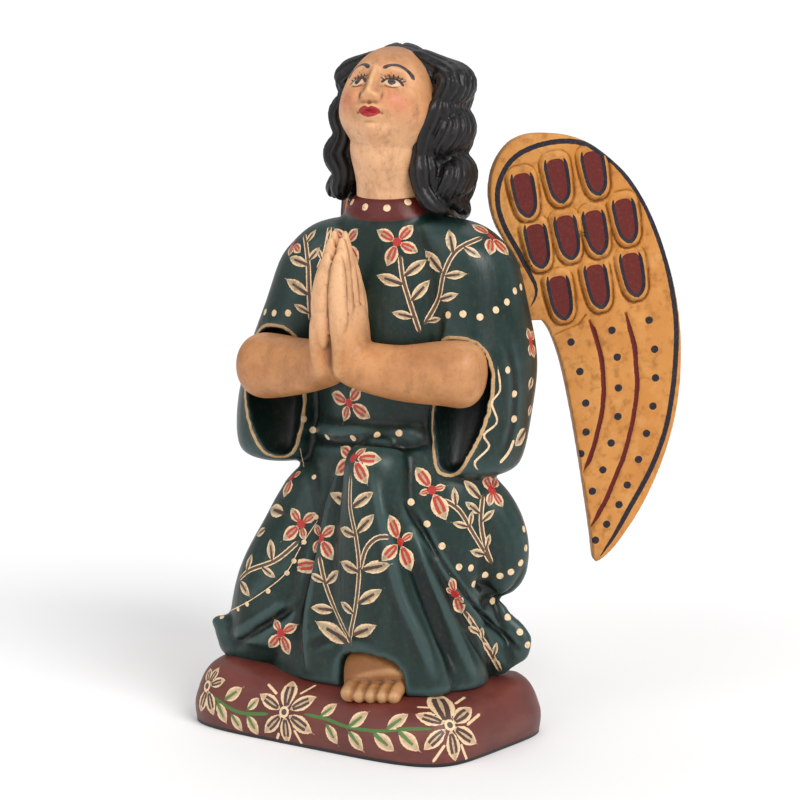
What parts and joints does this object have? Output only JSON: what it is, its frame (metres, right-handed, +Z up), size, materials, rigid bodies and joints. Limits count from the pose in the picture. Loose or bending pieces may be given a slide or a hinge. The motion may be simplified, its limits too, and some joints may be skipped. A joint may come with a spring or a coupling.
{
  "type": "kneeling angel figurine",
  "caption": "Carved wooden figurine of a winged angel that kneels on a low mound with joined hands and an upturned face.",
  "frame": {"origin": "centre of the mound's underside, on the surface that it stands on", "axes": "+Z up, the figure's front along -Y, +X to its own left hand"},
  "size_m": [0.2146, 0.1723, 0.3376],
  "materials": {
    "robe": "hand painted dark green with pale floral strokes, aged satin varnish",
    "wing": "hand painted ochre gold with maroon scales and dark lines, aged satin varnish"
  },
  "bodies": {
    "root": {"figure": "robe", "wing_left": "wing", "wing_right": "wing"}
  },
  "joints": []
}
